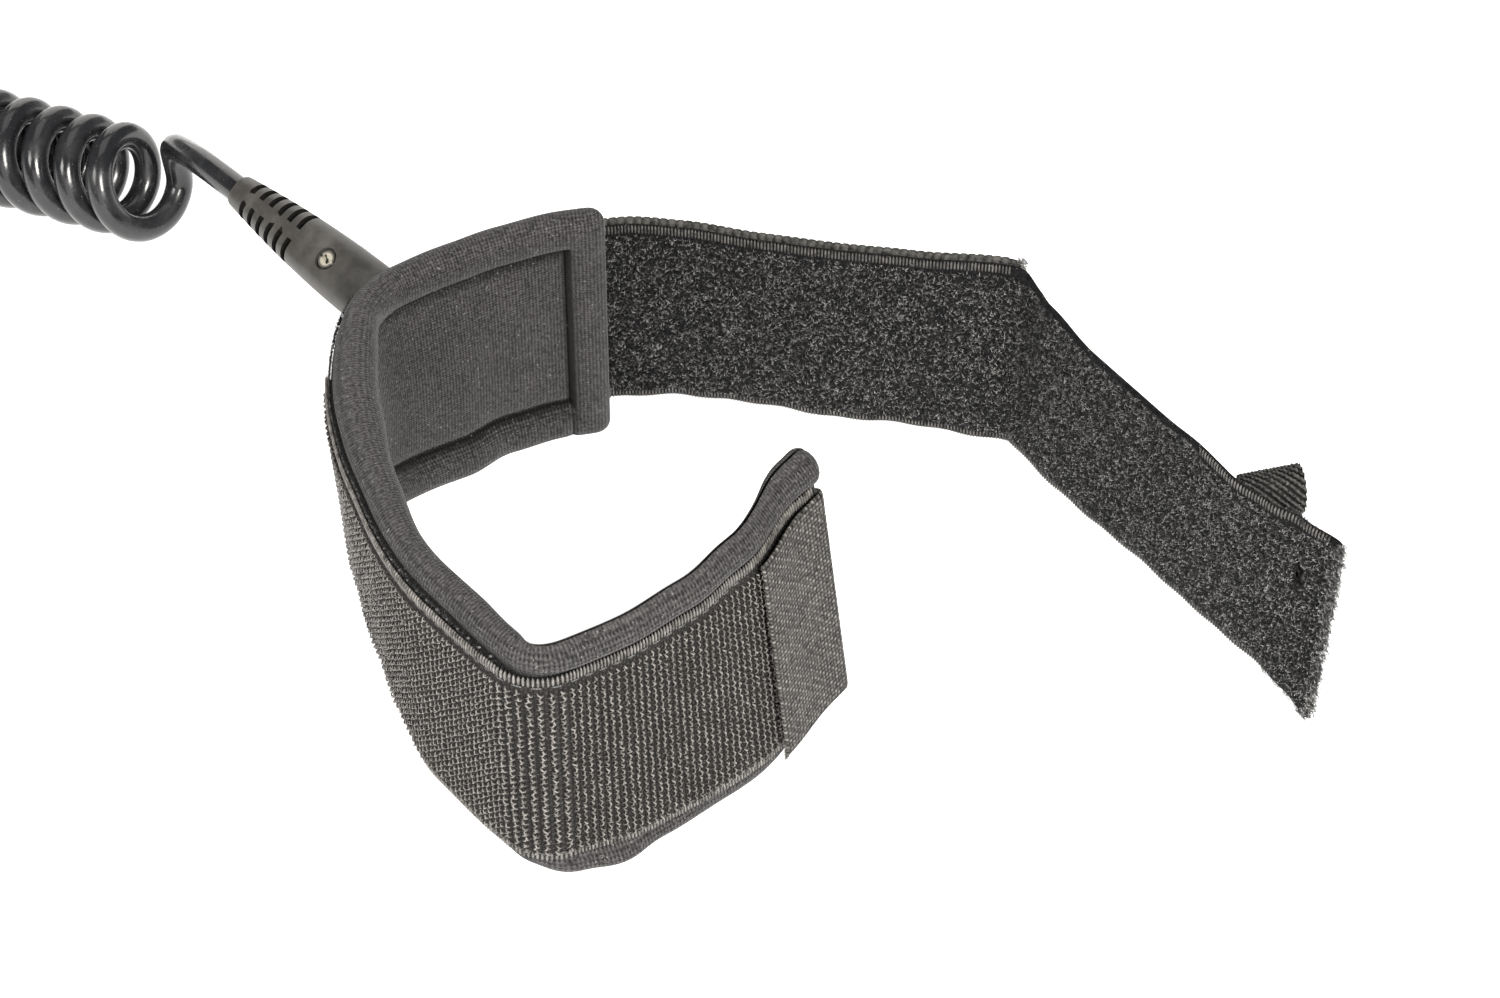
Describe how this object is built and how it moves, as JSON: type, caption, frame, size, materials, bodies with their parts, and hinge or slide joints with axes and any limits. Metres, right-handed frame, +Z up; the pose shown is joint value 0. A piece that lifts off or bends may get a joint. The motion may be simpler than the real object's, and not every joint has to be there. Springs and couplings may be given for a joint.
{
  "type": "wrist strap with coiled cord",
  "caption": "Padded hook-and-loop wrist cuff with a closing strap and a coiled cord that leaves it through a moulded, slotted cord end.",
  "frame": {"origin": "on the ground under the middle of the cuff, the free strap and the near cord end", "axes": "+X along the free strap, away from the cord; +Y away from the cuff's fold; +Z up, along the cuff's height"},
  "size_m": [0.4932, 0.2469, 0.06],
  "materials": {
    "knit_neoprene": "matt knit",
    "base_webbing": "matt woven",
    "hook_tape": "matt, fine hooks",
    "tape_back": "matt plain weave",
    "loop_tape": "matt brushed loops",
    "webbing": "matt twill",
    "thread": "matt thread",
    "horn_moulding": "satin",
    "cord_sheath": "gloss",
    "screw_metal": "worn nickel plate",
    "crimp_metal": "plain"
  },
  "bodies": {
    "cuff": {"rolled_rim_rear": "knit_neoprene", "inner_panel_rear": "knit_neoprene", "base_tape_rear": "base_webbing", "hook_tape_rear": "hook_tape", "seam_stitches_rear": "thread", "strap_sewn_end": "loop_tape", "anchor_webbing": "webbing", "anchor_stitches": "thread"},
    "flap": {"rolled_rim_front": "knit_neoprene", "inner_panel_front": "knit_neoprene", "base_tape_front": "base_webbing", "hook_tape_front": "hook_tape", "seam_stitches_front": "thread"},
    "tab": {"folded_tab": "tape_back"},
    "strap_inner": {"loop_tape_inner": "loop_tape", "backing_webbing": "webbing", "backing_stitches": "thread"},
    "strap_outer": {"loop_tape_outer": "loop_tape", "pull_loop_bar_tack": "thread"},
    "pull": {"pull_loop": "webbing"},
    "cord": {"near_tongue": "webbing", "near_horn": "horn_moulding", "near_screw": "screw_metal", "near_nut": "screw_metal", "near_crimp": "crimp_metal", "near_cord_tail": "cord_sheath", "cord_coil": "cord_sheath", "far_cord_tail": "cord_sheath", "far_horn": "horn_moulding", "far_screw": "screw_metal", "far_nut": "screw_metal", "far_crimp": "crimp_metal", "far_webbing_loop": "webbing", "far_loop_stitches": "thread"}
  },
  "joints": [
    {"name": "flap_fold", "type": "hinge", "parent": "cuff", "child": "flap", "pos_m": [-0.0407, -0.0837, 0], "axis": [0, 0, 1], "range_deg": [-70, 15]},
    {"name": "tab_fold", "type": "hinge", "parent": "flap", "child": "tab", "pos_m": [0.01613, -0.03962, 0.005], "axis": [-0.129, 0.104, 0.9862], "range_deg": [-2, 120]},
    {"name": "strap_root", "type": "hinge", "parent": "cuff", "child": "strap_inner", "pos_m": [-0.02952, 0.04639, 0], "axis": [0, 0, 1], "range_deg": [-10, 60]},
    {"name": "strap_crease", "type": "hinge", "parent": "strap_inner", "child": "strap_outer", "pos_m": [0.05499, 0.03254, 0], "axis": [0, 0, 1], "range_deg": [-12, 60]},
    {"name": "pull_loop_tilt", "type": "hinge", "parent": "strap_outer", "child": "pull", "pos_m": [0.10238, -0.0298, 0.03], "axis": [0.5949, -0.8038, 0], "range_deg": [-60, 2]},
    {"name": "cord_swing", "type": "hinge", "parent": "cuff", "child": "cord", "pos_m": [-0.07125, 0.03996, 0.03], "axis": [0, 0, 1], "range_deg": [-25, 25]}
  ]
}
